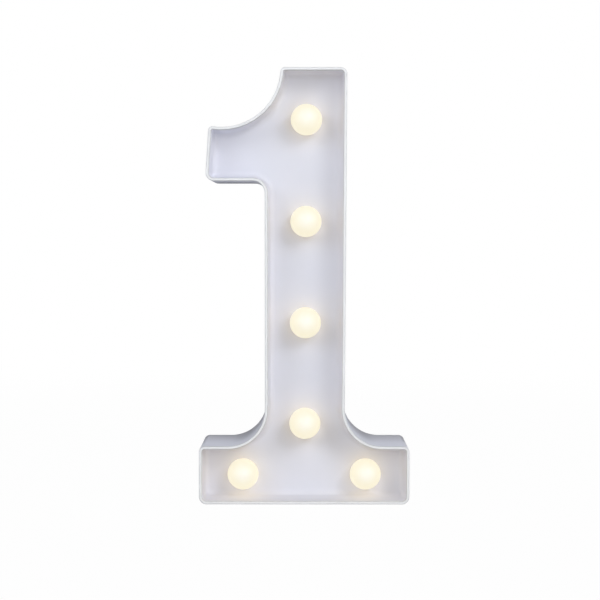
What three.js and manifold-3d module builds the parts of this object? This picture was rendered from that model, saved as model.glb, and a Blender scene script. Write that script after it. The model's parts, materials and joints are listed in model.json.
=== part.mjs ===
import * as THREE from "three";
import { mergeVertices } from "three/addons/utils/BufferGeometryUtils.js";
import Module from "manifold-3d";

// A light up marquee number: a plastic numeral one with six frosted globes.
// All sizes are in millimetres. Every piece is shaped in the numeral's own frame: x runs to
// the right as seen from the front, y up its height, and z from its back plane to the viewer.

// Outline of the numeral
const numeralHeight = 220;
const baseWidth = 106.5;
const baseHeight = 29.4;
const stemMiddle = 0.3;
const headFlare = 1.2;
const headLeftReach = 11.8;
const notchRadius = 29.7;
const flagTopReach = 48;
const flagFootReach = 49.7;
const flagThickness = 27;
const footRadius = 3.8;
const shoulderRadius = 3;
const rootRadius = 19;
const headRadius = 3.3;
const notchLipRadius = 2.3;
const flagFootRadius = 4.2;
const flagRootRadius = 6;
const leastCornerRadius = 0.6;
const chordSag = 0.08;

// Walls and clearances
const shellWall = 1.8;
const rearEdgeRadius = 1.4;
const fitGap = 0.3;
const cutOverrun = 1;
const joinOverlap = 0.4;

// Front tray
const trayDepth = 16;
const floorThickness = 2;
const rimWidth = 1.5;
const rimCrest = 0.5;
const trayFootInset = 2.3;
const trayFillet = 2.8;

// Globes, four up the stem and one at each end of the base
const stemGlobeCount = 4;
const firstGlobeHeight = 40.1;
const topGlobeMargin = 25.5;
const baseGlobeMargin = 22;
const baseGlobeDrop = 0.6;
const globeLean = 1;
const globeRadius = 7.9;
const globeSetback = 9;
const globeWall = 1.1;
const neckRadius = 4;
const collarWall = 1.7;
const collarThickness = 2.1;
const collarLand = 0.2;

// Light-emitting diodes
const ledRadius = 2.5;
const ledFlangeRadius = 2.9;
const ledFlangeThickness = 1;
const ledBarrel = 5.5;
const ledLegSpread = 2.54;
const ledLegWidth = 0.5;
const ledWireRoom = 1.3;

// Cells and their contacts
const cellRadius = 7.1;
const cellLength = 50.5;
const cellNubRadius = 2.75;
const cellNubHeight = 1;
const cellEdge = 0.5;
const cellSpacing = 0.4;
const cellClearance = 0.3;
const stripThickness = 0.4;
const stripHeight = 10;
const plateWidth = 11;
const leafWidth = 8;
const leafReach = 3.6;
const leafFold = 0.7;
const tabWidth = 3;
const tabReach = 2.4;

// Back cover and battery bay
const coverThickness = 2;
const bayWall = 1.4;
const bayRise = 24.6;
const doorLedge = 1;
const ledgeThickness = 1.4;
const frameWall = 1.2;
const coverMargin = 0.2;

// Battery door
const doorThickness = 1.6;
const doorPinRadius = 0.9;
const doorPinReach = 0.7;
const socketSkin = 0.8;
const latchWidth = 12;
const latchReach = 4.6;
const latchDrop = 4.4;
const latchThickness = 1.1;
const latchRoom = 0.6;
const gripRibCount = 5;
const gripRibWidth = 0.9;
const gripRibPitch = 2.2;
const gripRibRise = 0.5;
const gripRibLength = 16;
const gripDishDepth = 0.7;

// Slide switch
const switchPocketWidth = 19;
const switchPocketHeight = 9;
const switchPocketDepth = 3;
const switchPocketWall = 1.2;
const switchPlateWidth = 25.4;
const switchBodyWidth = 15;
const switchBodyHeight = 8.6;
const switchBodyDepth = 5.5;
const switchEarThickness = 0.8;
const switchPostRadius = 1;
const switchPostHead = 1.7;
const switchPostHeadHeight = 0.8;
const switchPostInset = 2.2;
const knobWidth = 3.6;
const knobHeight = 4.4;
const knobTravel = 4;
const knobSunk = 0.8;
const knobFootOverhang = 0.8;
const knobFootThickness = 1.6;
const knobRidgeCount = 3;
const knobRidgeWidth = 0.5;
const knobRidgePitch = 1.05;
const knobRidgeRise = 0.35;
const lugCount = 3;
const lugPitch = 3.5;
const lugWidth = 0.6;
const lugHeight = 1.8;
const lugLength = 2.2;

// Cover screws and the bosses that take them
const screwHeadRadius = 2.5;
const screwShankRadius = 1.25;
const screwSunk = 0.1;
const screwLength = 9.5;
const screwTip = 1.2;
const bossRadius = 3.2;
const pilotExtra = 1.5;
const baseScrewMargin = 8.5;
const flagScrewMargin = 7;
const headScrewMargin = 8.5;
const midScrewMargin = 8.5;

// Hanging keyhole
const keyholeMargin = 20;
const keyholeEntryRadius = 4.2;
const keyholeSlotRadius = 2.2;
const keyholeRise = 8;

// Internal wires and resistor
const wireRadius = 0.6;
const wireRoom = 2.5;
const wireEnd = 3;
const wireHop = 2;
const wireRunStep = 5;
const wireLeadStep = 1.6;
const resistorRadius = 1.15;
const resistorLength = 6.3;
const resistorLeadRadius = 0.3;

// Facets of the round pieces
const globeSides = 18;
const globeBands = 10;
const hollowBands = 5;
const ledSides = 10;
const domeBands = 2;
const cellSides = 20;
const screwSides = 10;
const boreSides = 18;
const smallSides = 12;
const wireSides = 6;
const beadBands = 3;
const filletBands = 3;
const rearEdgeBands = 2;

// Places worked out from the sizes above
const baseHalf = baseWidth / 2;
const bayHalf = cellRadius * 2 + cellSpacing / 2 + cellClearance;
const doorHalf = bayHalf + doorLedge;
const doorwayHalf = doorHalf + fitGap;
const hingeBlockHalf = doorwayHalf + doorPinReach + fitGap + socketSkin;
const coverInset = shellWall + fitGap;
const stemHalf = hingeBlockHalf + coverMargin + coverInset;
const stemLeft = stemMiddle - stemHalf;
const stemRight = stemMiddle + stemHalf;
const headRight = stemRight + headFlare;
const notchMiddle = -headLeftReach - notchRadius;
const flagTop = numeralHeight - notchRadius;
const flagUnder = flagTop - flagThickness;

// Levels from the back plane to the front rim
const ledgeLevel = doorThickness + fitGap;
const cellLevel = ledgeLevel + cellClearance + cellRadius;
const bayCeiling = cellLevel + cellRadius + cellClearance;
const bayCrown = bayCeiling + bayWall;
const wireLevel = bayCrown + wireRoom + wireRadius;
const ledLevel = wireLevel + wireRadius + ledWireRoom;
const neckLevel = ledLevel + ledFlangeThickness + fitGap;
const collarLevel = neckLevel + collarLand;
const floorBack = collarLevel + collarThickness + fitGap;
const floorFront = floorBack + floorThickness;
const numeralDepth = floorFront + trayDepth;
const globeLevel = numeralDepth - globeSetback;

// Battery bay along the stem
const leafRoom = stripThickness + leafReach + fitGap * 2;
const nubRoom = stripThickness + fitGap * 2;
const bayFoot = baseHeight + bayRise;
const bayTop = bayFoot + leafRoom + cellLength + nubRoom;
const barrelRadius = doorThickness;
const hingeHeight = bayTop + bayWall + fitGap + barrelRadius;
const doorFoot = bayFoot - bayWall;
const cellOffset = cellRadius + cellSpacing / 2;

// Switch, at the middle of the base
const baseGlobeHeight = baseHeight / 2 - baseGlobeDrop;
const wireOffset = ledLegSpread / 2 + ledLegWidth / 2 + fitGap + wireRadius;
const switchHeight = baseGlobeHeight + wireOffset;
const pocketFloor = switchPocketDepth + switchPocketWall;
const switchFace = pocketFloor + fitGap;
const switchBack = switchFace + switchBodyDepth;
const postReach = switchPlateWidth / 2 - switchPostInset;

const finishes = {
  shell: { color: 0xeceaee, roughness: 0.32, metalness: 0 },
  globe: { color: 0xfffbe0, roughness: 0.45, metalness: 0, emissive: 0xfff3c0 },
  cover: { color: 0xe4e3e6, roughness: 0.5, metalness: 0 },
  led: { color: 0xf4e3a4, roughness: 0.15, metalness: 0 },
  collar: { color: 0xd9d9dc, roughness: 0.5, metalness: 0 },
  cell: { color: 0x3c4148, roughness: 0.35, metalness: 0.3 },
  contact: { color: 0xc9ccd0, roughness: 0.25, metalness: 1 },
  black: { color: 0x1d1d1f, roughness: 0.45, metalness: 0 },
  screw: { color: 0xb4b7bc, roughness: 0.3, metalness: 1 },
  redWire: { color: 0xb02420, roughness: 0.5, metalness: 0 },
  blackWire: { color: 0x202022, roughness: 0.5, metalness: 0 },
  resistor: { color: 0xcdb38a, roughness: 0.5, metalness: 0 },
};

const wasm = await Module();
wasm.setup();

const at = (x, y) => new THREE.Vector2(x, y);
const sum = (list) => list.reduce((joined, next) => joined.add(next));

// The numeral's edges, anticlockwise from its foot. Each corner is the radius that rounds the
// edge into the next one: positive where the outline turns left, negative where it turns right.
const outlineEdges = [
  { from: at(-baseHalf, 0), to: at(baseHalf, 0), corner: footRadius },
  { from: at(baseHalf, 0), to: at(baseHalf, baseHeight), corner: shoulderRadius },
  { from: at(baseHalf, baseHeight), to: at(stemRight, baseHeight), corner: -rootRadius },
  { from: at(stemRight, baseHeight), to: at(headRight, numeralHeight), corner: headRadius },
  { from: at(headRight, numeralHeight), to: at(-headLeftReach, numeralHeight), corner: notchLipRadius },
  { centre: at(notchMiddle, numeralHeight), radius: notchRadius, corner: notchLipRadius },
  { from: at(-flagTopReach, flagTop), to: at(-flagFootReach, flagUnder), corner: flagFootRadius },
  { from: at(-flagFootReach, flagUnder), to: at(stemLeft, flagUnder), corner: -flagRootRadius },
  { from: at(stemLeft, flagUnder), to: at(stemLeft, baseHeight), corner: -rootRadius },
  { from: at(stemLeft, baseHeight), to: at(-baseHalf, baseHeight), corner: shoulderRadius },
  { from: at(-baseHalf, baseHeight), to: at(-baseHalf, 0), corner: footRadius },
];

function directionOf(edge) {
  return edge.to.clone().sub(edge.from).normalize();
}

function inwardOf(edge) {
  const along = directionOf(edge);
  return at(-along.y, along.x);
}

// The edge moved into the numeral by the inset. The notch's circle grows with it.
function movedEdge(edge, inset) {
  if (edge.centre) return { centre: edge.centre, radius: edge.radius + inset };
  const shift = inwardOf(edge).multiplyScalar(inset);
  return { from: edge.from.clone().add(shift), to: edge.to.clone().add(shift) };
}

function lineMeetsLine(first, second) {
  const along = directionOf(first);
  const across = inwardOf(second);
  const run = second.from.clone().sub(first.from).dot(across) / along.dot(across);
  return first.from.clone().addScaledVector(along, run);
}

function lineMeetsCircle(line, circle, side) {
  const along = directionOf(line);
  const run = circle.centre.clone().sub(line.from).dot(along);
  const foot = line.from.clone().addScaledVector(along, run);
  const reach = Math.sqrt(circle.radius ** 2 - foot.distanceToSquared(circle.centre));
  return foot.addScaledVector(along, reach * side);
}

function edgesMeet(first, second) {
  if (first.centre) return lineMeetsCircle(second, first, 1);
  if (second.centre) return lineMeetsCircle(first, second, -1);
  return lineMeetsLine(first, second);
}

// Where a corner's circle touches an edge that has been moved in by the inset
function touchPoint(edge, middle, corner, inset) {
  if (edge.centre) {
    const away = middle.clone().sub(edge.centre).normalize();
    return edge.centre.clone().addScaledVector(away, edge.radius + inset);
  }
  return middle.clone().addScaledVector(inwardOf(edge), inset - corner);
}

// Points along an arc from one point to another, both ends included. Every bend here is near
// a quarter turn, so its count follows the nominal radius and is alike at every inset.
function arcPoints(middle, from, to, clockwise, nominalRadius) {
  const start = from.clone().sub(middle).angle();
  let sweep = to.clone().sub(middle).angle() - start;
  if (clockwise && sweep > 0) sweep -= Math.PI * 2;
  if (!clockwise && sweep < 0) sweep += Math.PI * 2;
  const step = Math.acos(1 - chordSag / nominalRadius) * 2;
  const count = Math.ceil(Math.PI / 2 / step);
  const radius = from.distanceTo(middle);
  return Array.from({ length: count + 1 }, (_, index) => {
    const angle = start + (sweep * index) / count;
    return at(middle.x + Math.cos(angle) * radius, middle.y + Math.sin(angle) * radius);
  });
}

// The numeral's outline, drawn in from its outer edge by the inset
function outlinePoints(inset) {
  const corners = outlineEdges.map((edge, index) => {
    const next = outlineEdges[(index + 1) % outlineEdges.length];
    const corner = edge.corner > 0 ? Math.max(edge.corner, inset + leastCornerRadius) : edge.corner;
    const middle = edgesMeet(movedEdge(edge, corner), movedEdge(next, corner));
    const start = touchPoint(edge, middle, corner, inset);
    const end = touchPoint(next, middle, corner, inset);
    return arcPoints(middle, start, end, corner < 0, Math.abs(edge.corner));
  });
  return outlineEdges.flatMap((edge, index) => {
    if (!edge.centre) return corners[index];
    const before = corners[index - 1];
    const bow = arcPoints(edge.centre, before.at(-1), corners[index][0], true, edge.radius);
    return [...bow.slice(1, -1), ...corners[index]];
  });
}

// A closed skin through the outline at each level, given as pairs of inset and height
function loft(levels) {
  const rings = levels.map(([inset, height]) => outlinePoints(inset).map((p) => [p.x, p.y, height]));
  const count = rings[0].length;
  const faces = [];
  for (let level = 0; level < rings.length - 1; level += 1) {
    for (let i = 0; i < count; i += 1) {
      const j = (i + 1) % count;
      const low = level * count;
      const high = low + count;
      faces.push(low + i, low + j, high + j, low + i, high + j, high + i);
    }
  }
  const lids = [0, rings.length - 1].map((level) => {
    const ring = rings[level].map(([x, y]) => at(x, y));
    return THREE.ShapeUtils.triangulateShape(ring, []);
  });
  const top = (rings.length - 1) * count;
  lids[0].forEach(([a, b, c]) => faces.push(c, b, a));
  lids[1].forEach(([a, b, c]) => faces.push(top + a, top + b, top + c));
  const geometry = new THREE.BufferGeometry();
  geometry.setAttribute("position", new THREE.Float32BufferAttribute(rings.flat(2), 3));
  geometry.setIndex(faces);
  return solidOf(geometry);
}

// A geometry with its shared corners merged, no collapsed faces, and its faces turned outwards
function solidOf(geometry) {
  geometry.deleteAttribute("normal");
  geometry.deleteAttribute("uv");
  const merged = mergeVertices(geometry);
  const places = merged.attributes.position;
  const corner = (index) => new THREE.Vector3().fromBufferAttribute(places, index);
  const kept = [];
  let volume = 0;
  for (let face = 0; face < merged.index.count; face += 3) {
    const [a, b, c] = [0, 1, 2].map((step) => merged.index.getX(face + step));
    if (a === b || b === c || c === a) continue;
    kept.push([a, b, c]);
    volume += corner(a).dot(corner(b).cross(corner(c)));
  }
  const turned = volume < 0 ? kept.map(([a, b, c]) => [c, b, a]) : kept;
  return new wasm.Manifold(
    new wasm.Mesh({
      numProp: 3,
      vertProperties: new Float32Array(places.array),
      triVerts: new Uint32Array(turned.flat()),
    }),
  );
}

function geometryOf(solid) {
  const mesh = solid.getMesh();
  const geometry = new THREE.BufferGeometry();
  geometry.setAttribute("position", new THREE.BufferAttribute(mesh.vertProperties, 3));
  geometry.setIndex(new THREE.BufferAttribute(mesh.triVerts, 1));
  geometry.computeVertexNormals();
  return geometry;
}

// A block between two opposite corners
function block(low, high) {
  const size = high.map((value, axis) => value - low[axis]);
  const middle = high.map((value, axis) => (value + low[axis]) / 2);
  return solidOf(new THREE.BoxGeometry(...size).translate(...middle));
}

// A block centred on x and y, from one level to another
function slab(x, y, width, height, low, high) {
  return block(
    [x - width / 2, y - height / 2, low],
    [x + width / 2, y + height / 2, high],
  );
}

// A rod along z
function rod(x, y, radius, low, high, sides) {
  const geometry = new THREE.CylinderGeometry(radius, radius, high - low, sides);
  return solidOf(geometry.rotateX(Math.PI / 2).translate(x, y, (low + high) / 2));
}

// A rod along x
function crossRod(from, to, y, z, radius, sides) {
  const geometry = new THREE.CylinderGeometry(radius, radius, Math.abs(to - from), sides);
  return solidOf(geometry.rotateZ(Math.PI / 2).translate((from + to) / 2, y, z));
}

// A solid of revolution about z, from pairs of radius and height that start and end on the axis
function turning(profile, sides) {
  const points = profile.map(([radius, height]) => at(radius, height));
  return solidOf(new THREE.LatheGeometry(points, sides).rotateX(Math.PI / 2));
}

// A bar along x whose section is an outline in y and z
function barAcross(section, from, to) {
  const shape = new THREE.Shape(section.map(([y, z]) => at(y, z)));
  const geometry = new THREE.ExtrudeGeometry(shape, { depth: to - from, bevelEnabled: false });
  geometry.applyMatrix4(new THREE.Matrix4().set(0, 0, 1, from, 1, 0, 0, 0, 0, 1, 0, 0, 0, 0, 0, 1));
  return solidOf(geometry);
}

// Pairs of radius and height along a quarter or more of a circle about a point on the axis
function ballProfile(level, radius, startAngle, bands) {
  return Array.from({ length: bands + 1 }, (_, index) => {
    const angle = startAngle + ((Math.PI / 2 - startAngle) * index) / bands;
    return [Math.abs(Math.cos(angle)) * radius, level + Math.sin(angle) * radius];
  });
}

// Places on the numeral

// The line that carries the stem's globes leans with the head's flare
function globeLineAt(height) {
  const share = (height - baseHeight) / (numeralHeight - baseHeight);
  return stemMiddle + globeLean * Math.max(0, share);
}

function globeSpots() {
  const pitch = (numeralHeight - topGlobeMargin - firstGlobeHeight) / (stemGlobeCount - 1);
  const stem = Array.from({ length: stemGlobeCount }, (_, index) => {
    const y = firstGlobeHeight + pitch * index;
    return { x: globeLineAt(y), y, onStem: true };
  });
  const base = [-1, 1].map((side) => {
    return { x: side * (baseHalf - baseGlobeMargin), y: baseGlobeHeight, onStem: false };
  });
  return [...stem.reverse(), ...base];
}

function screwSpots() {
  const midHeight = hingeHeight + midScrewMargin;
  const midReach = stemHalf - coverInset - bossRadius - fitGap;
  return [
    { x: headRight - headScrewMargin, y: numeralHeight - headScrewMargin },
    { x: flagScrewMargin - flagTopReach, y: flagTop - flagThickness / 2 },
    { x: stemMiddle - midReach, y: midHeight },
    { x: stemMiddle + midReach, y: midHeight },
    { x: baseScrewMargin - baseHalf, y: baseHeight / 2 },
    { x: baseHalf - baseScrewMargin, y: baseHeight / 2 },
  ];
}

// Front shell

function outerLevels() {
  const bead = (rimWidth - rimCrest) / 2;
  const levels = [];
  for (let band = 0; band <= rearEdgeBands; band += 1) {
    const angle = ((Math.PI / 2) * band) / rearEdgeBands;
    levels.push([rearEdgeRadius * (1 - Math.sin(angle)), rearEdgeRadius * (1 - Math.cos(angle))]);
  }
  for (let band = 0; band <= beadBands; band += 1) {
    const angle = ((Math.PI / 2) * band) / beadBands;
    levels.push([bead * (1 - Math.cos(angle)), numeralDepth - bead + bead * Math.sin(angle)]);
  }
  return levels;
}

function trayLevels() {
  const bead = (rimWidth - rimCrest) / 2;
  const levels = [];
  for (let band = 0; band <= filletBands; band += 1) {
    const angle = ((Math.PI / 2) * band) / filletBands;
    const inset = trayFootInset + trayFillet * (1 - Math.sin(angle));
    levels.push([inset, floorFront + trayFillet * (1 - Math.cos(angle))]);
  }
  for (let band = 0; band <= beadBands; band += 1) {
    const angle = ((Math.PI / 2) * band) / beadBands;
    levels.push([rimWidth - bead * (1 - Math.cos(angle)), numeralDepth - bead + bead * Math.sin(angle)]);
  }
  levels.push([rimWidth - bead, numeralDepth + cutOverrun]);
  return levels;
}

function frontShell() {
  const bossFoot = coverThickness + fitGap;
  const tray = loft(trayLevels());
  const cavity = loft([
    [shellWall, -cutOverrun],
    [shellWall, floorBack],
  ]);
  const bosses = screwSpots().map(({ x, y }) => {
    return rod(x, y, bossRadius, bossFoot, floorBack + joinOverlap, boreSides);
  });
  const pilots = screwSpots().map(({ x, y }) => {
    const reach = screwSunk + screwLength + pilotExtra;
    return rod(x, y, screwShankRadius + fitGap, bossFoot - cutOverrun, reach, smallSides);
  });
  const seats = globeSpots().map(({ x, y }) => {
    return rod(x, y, neckRadius + fitGap, floorBack - cutOverrun, floorFront + cutOverrun, boreSides);
  });
  const walls = loft(outerLevels()).subtract(tray).subtract(cavity);
  return walls.add(sum(bosses)).subtract(sum(pilots)).subtract(sum(seats));
}

// Globes, their diodes and collars

function globe() {
  const neckAngle = -Math.acos(neckRadius / globeRadius);
  const outer = turning(
    [[0, neckLevel], [neckRadius, neckLevel], ...ballProfile(globeLevel, globeRadius, neckAngle, globeBands)],
    globeSides,
  );
  const hollowRadius = globeRadius - globeWall;
  const boreRadius = ledRadius + fitGap;
  const boreAngle = -Math.acos(boreRadius / hollowRadius);
  const mouth = neckLevel - cutOverrun;
  const hollow = turning(
    [[0, mouth], [boreRadius, mouth], ...ballProfile(globeLevel, hollowRadius, boreAngle, hollowBands)],
    globeSides,
  );
  return outer.subtract(hollow);
}

function led(onStem) {
  const shoulder = ledLevel + ledFlangeThickness;
  const body = turning(
    [
      [0, ledLevel],
      [ledFlangeRadius, ledLevel],
      [ledFlangeRadius, shoulder],
      [ledRadius, shoulder],
      ...ballProfile(shoulder + ledBarrel, ledRadius, 0, domeBands),
    ],
    ledSides,
  );
  const legs = [-1, 1].map((side) => {
    const offset = (side * ledLegSpread) / 2;
    const [x, y] = onStem ? [offset, 0] : [0, offset];
    return slab(x, y, ledLegWidth, ledLegWidth, wireLevel - wireRadius, ledLevel + joinOverlap);
  });
  return body.add(sum(legs));
}

function collar() {
  const inner = neckRadius + fitGap;
  const far = collarLevel + collarThickness;
  const ring = rod(0, 0, inner + collarWall, collarLevel, far, boreSides);
  const bore = rod(0, 0, inner, collarLevel - cutOverrun, far + cutOverrun, boreSides);
  return ring.subtract(bore);
}

// Cells and contacts

function cell() {
  const barrel = cellLength - cellNubHeight;
  const profile = [
    [0, 0],
    [cellRadius - cellEdge, 0],
    [cellRadius, cellEdge],
    [cellRadius, barrel - cellEdge],
    [cellRadius - cellEdge, barrel],
    [cellNubRadius, barrel],
    [cellNubRadius, cellLength],
    [0, cellLength],
  ];
  return turning(profile, cellSides).rotate([-90, 0, 0]);
}

// The outline of a bent strip of even thickness, along a centre line in y and z
function ribbon(line) {
  const points = line.map(([y, z]) => at(y, z));
  const normals = points.slice(1).map((point, index) => {
    const run = point.clone().sub(points[index]);
    return at(-run.y, run.x).normalize();
  });
  const side = (sign) => points.map((point, index) => {
    const arriving = normals[Math.max(0, index - 1)];
    const leaving = normals[Math.min(normals.length - 1, index)];
    const mitre = arriving.clone().add(leaving).normalize();
    const reach = ((stripThickness / 2) * sign) / mitre.dot(arriving);
    return point.clone().addScaledVector(mitre, reach).toArray();
  });
  return [...side(1), ...side(-1).reverse()];
}

function leafLine() {
  const low = cellLevel - stripHeight / 2;
  const high = cellLevel + stripHeight / 2;
  const back = stripThickness / 2;
  const crest = back + leafReach;
  return [
    [back, low],
    [back, high],
    [back + leafFold, high],
    [crest, cellLevel],
    [back + leafFold, low + leafFold],
  ];
}

// A leaf spring that leans out along y from the bay's end wall
function leafSpring(x) {
  return barAcross(ribbon(leafLine()), x - leafWidth / 2, x + leafWidth / 2);
}

function contactPlate(x, width) {
  const half = stripHeight / 2;
  return slab(x, stripThickness / 2, width, stripThickness, cellLevel - half, cellLevel + half);
}

function solderTab(x) {
  const reach = fitGap + bayWall + tabReach;
  return block(
    [x - tabWidth / 2, -reach, cellLevel - stripThickness / 2],
    [x + tabWidth / 2, stripThickness, cellLevel + stripThickness / 2],
  );
}

function negativeContact() {
  return leafSpring(0).add(contactPlate(0, plateWidth)).add(solderTab(0));
}

function positiveContact() {
  return contactPlate(0, plateWidth).add(solderTab(0));
}

function bridgeContact() {
  return leafSpring(-cellOffset).add(contactPlate(0, cellOffset * 2 + plateWidth));
}

// Back cover

function batteryBay() {
  const doorwayFoot = doorFoot - fitGap;
  const hingeTop = hingeHeight + barrelRadius + fitGap;
  const frameHalf = doorwayHalf + frameWall;
  const frame = block(
    [-frameHalf, doorwayFoot - frameWall, coverThickness - joinOverlap],
    [frameHalf, hingeHeight, ledgeLevel + ledgeThickness],
  );
  const box = block(
    [-bayHalf - bayWall, bayFoot - bayWall, coverThickness - joinOverlap],
    [bayHalf + bayWall, bayTop + bayWall, bayCrown],
  );
  const grooveLevel = barrelRadius * 2 + fitGap;
  const hinge = block(
    [-hingeBlockHalf, bayTop, coverThickness - joinOverlap],
    [hingeBlockHalf, hingeTop + frameWall, grooveLevel + frameWall],
  );
  return frame.add(box).add(hinge);
}

// The doorway's top edge is bevelled, so that the open door can fold back past square
function batteryBayCuts() {
  const hingeTop = hingeHeight + barrelRadius + fitGap;
  const doorway = block([-doorwayHalf, doorFoot - fitGap, -cutOverrun], [doorwayHalf, hingeTop, ledgeLevel]);
  const groove = block(
    [-doorwayHalf, hingeHeight - barrelRadius - fitGap, -cutOverrun],
    [doorwayHalf, hingeTop, barrelRadius * 2 + fitGap],
  );
  const foldBack = [
    [hingeTop - joinOverlap, -cutOverrun],
    [hingeTop + doorThickness + cutOverrun, -cutOverrun],
    [hingeTop, doorThickness],
    [hingeTop - joinOverlap, doorThickness],
  ];
  const bevel = barAcross(foldBack, -doorwayHalf, doorwayHalf);
  const room = block([-bayHalf, bayFoot, -cutOverrun], [bayHalf, bayTop, bayCeiling]);
  const socketEnd = doorwayHalf + doorPinReach + fitGap;
  const socketRadius = doorPinRadius + fitGap;
  const socket = crossRod(-socketEnd, socketEnd, hingeHeight, barrelRadius, socketRadius, smallSides);
  const tabSlots = [-cellOffset, cellOffset].map((x) => {
    return block(
      [x - tabWidth / 2 - fitGap, bayFoot - bayWall - cutOverrun, cellLevel - stripThickness / 2 - fitGap],
      [x + tabWidth / 2 + fitGap, bayFoot + joinOverlap, cellLevel + stripThickness / 2 + fitGap],
    );
  });
  return sum([doorway, groove, bevel, room, socket, ...tabSlots]);
}

// The latch's pocket below the doorway, with the finger dish in front of it
function latchPocket(grow, low) {
  const half = latchWidth / 2 + fitGap + grow;
  const foot = doorFoot - latchReach - latchRoom - grow;
  return block([-half, foot, low], [half, doorFoot + joinOverlap, latchDrop + latchRoom + grow]);
}

function keyhole() {
  const top = numeralHeight - keyholeMargin;
  const x = globeLineAt(top);
  const slot = [top, top + keyholeRise].map((y) => {
    return rod(x, y, keyholeSlotRadius, -cutOverrun, coverThickness + cutOverrun, boreSides);
  });
  const waist = slab(
    x,
    top + keyholeRise / 2,
    keyholeSlotRadius * 2,
    keyholeRise,
    -cutOverrun,
    coverThickness + cutOverrun,
  );
  const entry = rod(x, top, keyholeEntryRadius, -cutOverrun, coverThickness + cutOverrun, boreSides);
  return sum([...slot, waist, entry]);
}

function countersink() {
  const mouth = screwHeadRadius + screwSunk + fitGap * Math.SQRT2;
  const throat = screwShankRadius + fitGap;
  return turning(
    [
      [0, -cutOverrun],
      [mouth, -cutOverrun],
      [mouth, 0],
      [throat, mouth - throat],
      [throat, coverThickness + cutOverrun],
      [0, coverThickness + cutOverrun],
    ],
    screwSides,
  );
}

function switchMount() {
  const plate = slab(
    0,
    switchHeight,
    switchPlateWidth,
    switchPocketHeight + switchPocketWall * 2,
    coverThickness - joinOverlap,
    pocketFloor,
  );
  const earBack = switchFace + switchEarThickness + fitGap;
  const postFoot = pocketFloor - joinOverlap;
  const postEnd = earBack + switchPostHeadHeight;
  const posts = [-postReach, postReach].map((x) => {
    const shaft = rod(x, switchHeight, switchPostRadius, postFoot, earBack + joinOverlap, smallSides);
    const head = rod(x, switchHeight, switchPostHead, earBack, postEnd, smallSides);
    return shaft.add(head);
  });
  return plate.add(sum(posts));
}

function switchMountCuts() {
  const pocket = slab(0, switchHeight, switchPocketWidth, switchPocketHeight, -cutOverrun, switchPocketDepth);
  const windowWidth = knobWidth + knobTravel + fitGap * 2;
  const windowHeight = knobHeight + fitGap * 2;
  const window = slab(0, switchHeight, windowWidth, windowHeight, -cutOverrun, pocketFloor + cutOverrun);
  return pocket.add(window);
}

function backCover() {
  const plate = loft([
    [coverInset, 0],
    [coverInset, coverThickness],
  ]);
  const bay = batteryBay().add(latchPocket(frameWall, coverThickness - joinOverlap));
  const bayCuts = batteryBayCuts().add(latchPocket(0, -cutOverrun));
  const screwHoles = screwSpots().map(({ x, y }) => countersink().translate([x, y, 0]));
  return plate
    .add(bay.translate([stemMiddle, 0, 0]))
    .add(switchMount())
    .subtract(bayCuts.translate([stemMiddle, 0, 0]))
    .subtract(switchMountCuts())
    .subtract(keyhole())
    .subtract(sum(screwHoles));
}

// Battery door, shaped about the doorway's middle line

function latchTongue() {
  const half = latchThickness / 2;
  const inner = doorFoot - half;
  const outer = doorFoot - latchReach + half;
  const tongue = latchThickness;
  const down = block(
    [-latchWidth / 2, inner - half, 0],
    [latchWidth / 2, inner + half + joinOverlap, latchDrop],
  );
  const turn = block(
    [-latchWidth / 2, outer - half, latchDrop - tongue],
    [latchWidth / 2, inner + half, latchDrop],
  );
  const thumb = block([-latchWidth / 2, outer - half, 0], [latchWidth / 2, outer + half, latchDrop]);
  return down.add(turn).add(thumb);
}

function gripRibs() {
  const middle = doorFoot + gripRibLength;
  const ribs = Array.from({ length: gripRibCount }, (_, index) => {
    const y = middle + (index - (gripRibCount - 1) / 2) * gripRibPitch;
    const low = gripDishDepth - gripRibRise;
    return slab(0, y, gripRibLength, gripRibWidth, low, gripDishDepth + joinOverlap);
  });
  return sum(ribs);
}

function gripDish() {
  const middle = doorFoot + gripRibLength;
  const height = gripRibPitch * (gripRibCount + 1);
  return slab(0, middle, gripRibLength + gripRibPitch, height, -cutOverrun, gripDishDepth);
}

function batteryDoor() {
  const panel = block([-doorHalf, doorFoot, 0], [doorHalf, hingeHeight, doorThickness]);
  const barrel = crossRod(-doorHalf, doorHalf, hingeHeight, barrelRadius, barrelRadius, boreSides);
  const pinEnd = doorwayHalf + doorPinReach;
  const pins = crossRod(-pinEnd, pinEnd, hingeHeight, barrelRadius, doorPinRadius, smallSides);
  return panel.subtract(gripDish()).add(gripRibs()).add(barrel).add(pins).add(latchTongue());
}

// Slide switch

function switchHousing() {
  const body = slab(0, 0, switchBodyWidth, switchBodyHeight, switchFace, switchBack);
  const ears = slab(0, 0, switchPlateWidth, switchBodyHeight, switchFace, switchFace + switchEarThickness);
  const holes = [-postReach, postReach].map((x) => {
    return rod(x, 0, switchPostRadius + fitGap, switchFace - cutOverrun, switchBack, smallSides);
  });
  const footWidth = knobWidth + knobFootOverhang * 2;
  const footHeight = knobHeight + knobFootOverhang * 2;
  const runWidth = footWidth + knobTravel + fitGap * 2;
  const runBack = switchFace + knobFootThickness + fitGap * 2;
  const run = slab(0, 0, runWidth, footHeight + fitGap * 2, switchFace - cutOverrun, runBack);
  const lugs = Array.from({ length: lugCount }, (_, index) => {
    const x = (index - (lugCount - 1) / 2) * lugPitch;
    return slab(x, 0, lugWidth, lugHeight, switchBack - joinOverlap, switchBack + lugLength);
  });
  return body.add(ears).add(sum(lugs)).subtract(run).subtract(sum(holes));
}

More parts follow.
